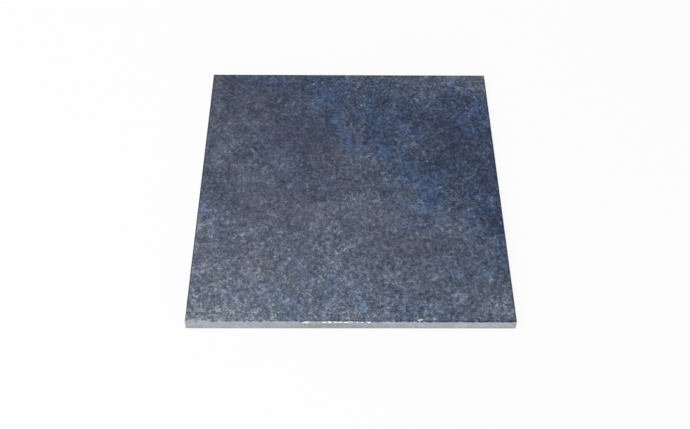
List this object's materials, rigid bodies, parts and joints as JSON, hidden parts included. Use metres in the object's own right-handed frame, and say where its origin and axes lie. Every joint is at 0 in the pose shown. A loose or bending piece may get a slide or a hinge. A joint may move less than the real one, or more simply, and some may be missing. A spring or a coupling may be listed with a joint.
{
  "type": "ceramic tile",
  "caption": "Square glazed stoneware tile with a mottled grey-blue reactive glaze over a rounded arris, bare pressed edges and a keyed back, for bedding on a floor or wall.",
  "frame": {"origin": "middle of the bed plane, which the ribs and the rim of the keyed back lie in", "axes": "+Z out of the glazed face, X and Y along the square's edges"},
  "size_m": [0.2, 0.2, 0.0085],
  "materials": {
    "glazed_stoneware": "gloss"
  },
  "bodies": {
    "root": {"tile": "glazed_stoneware"}
  },
  "joints": []
}
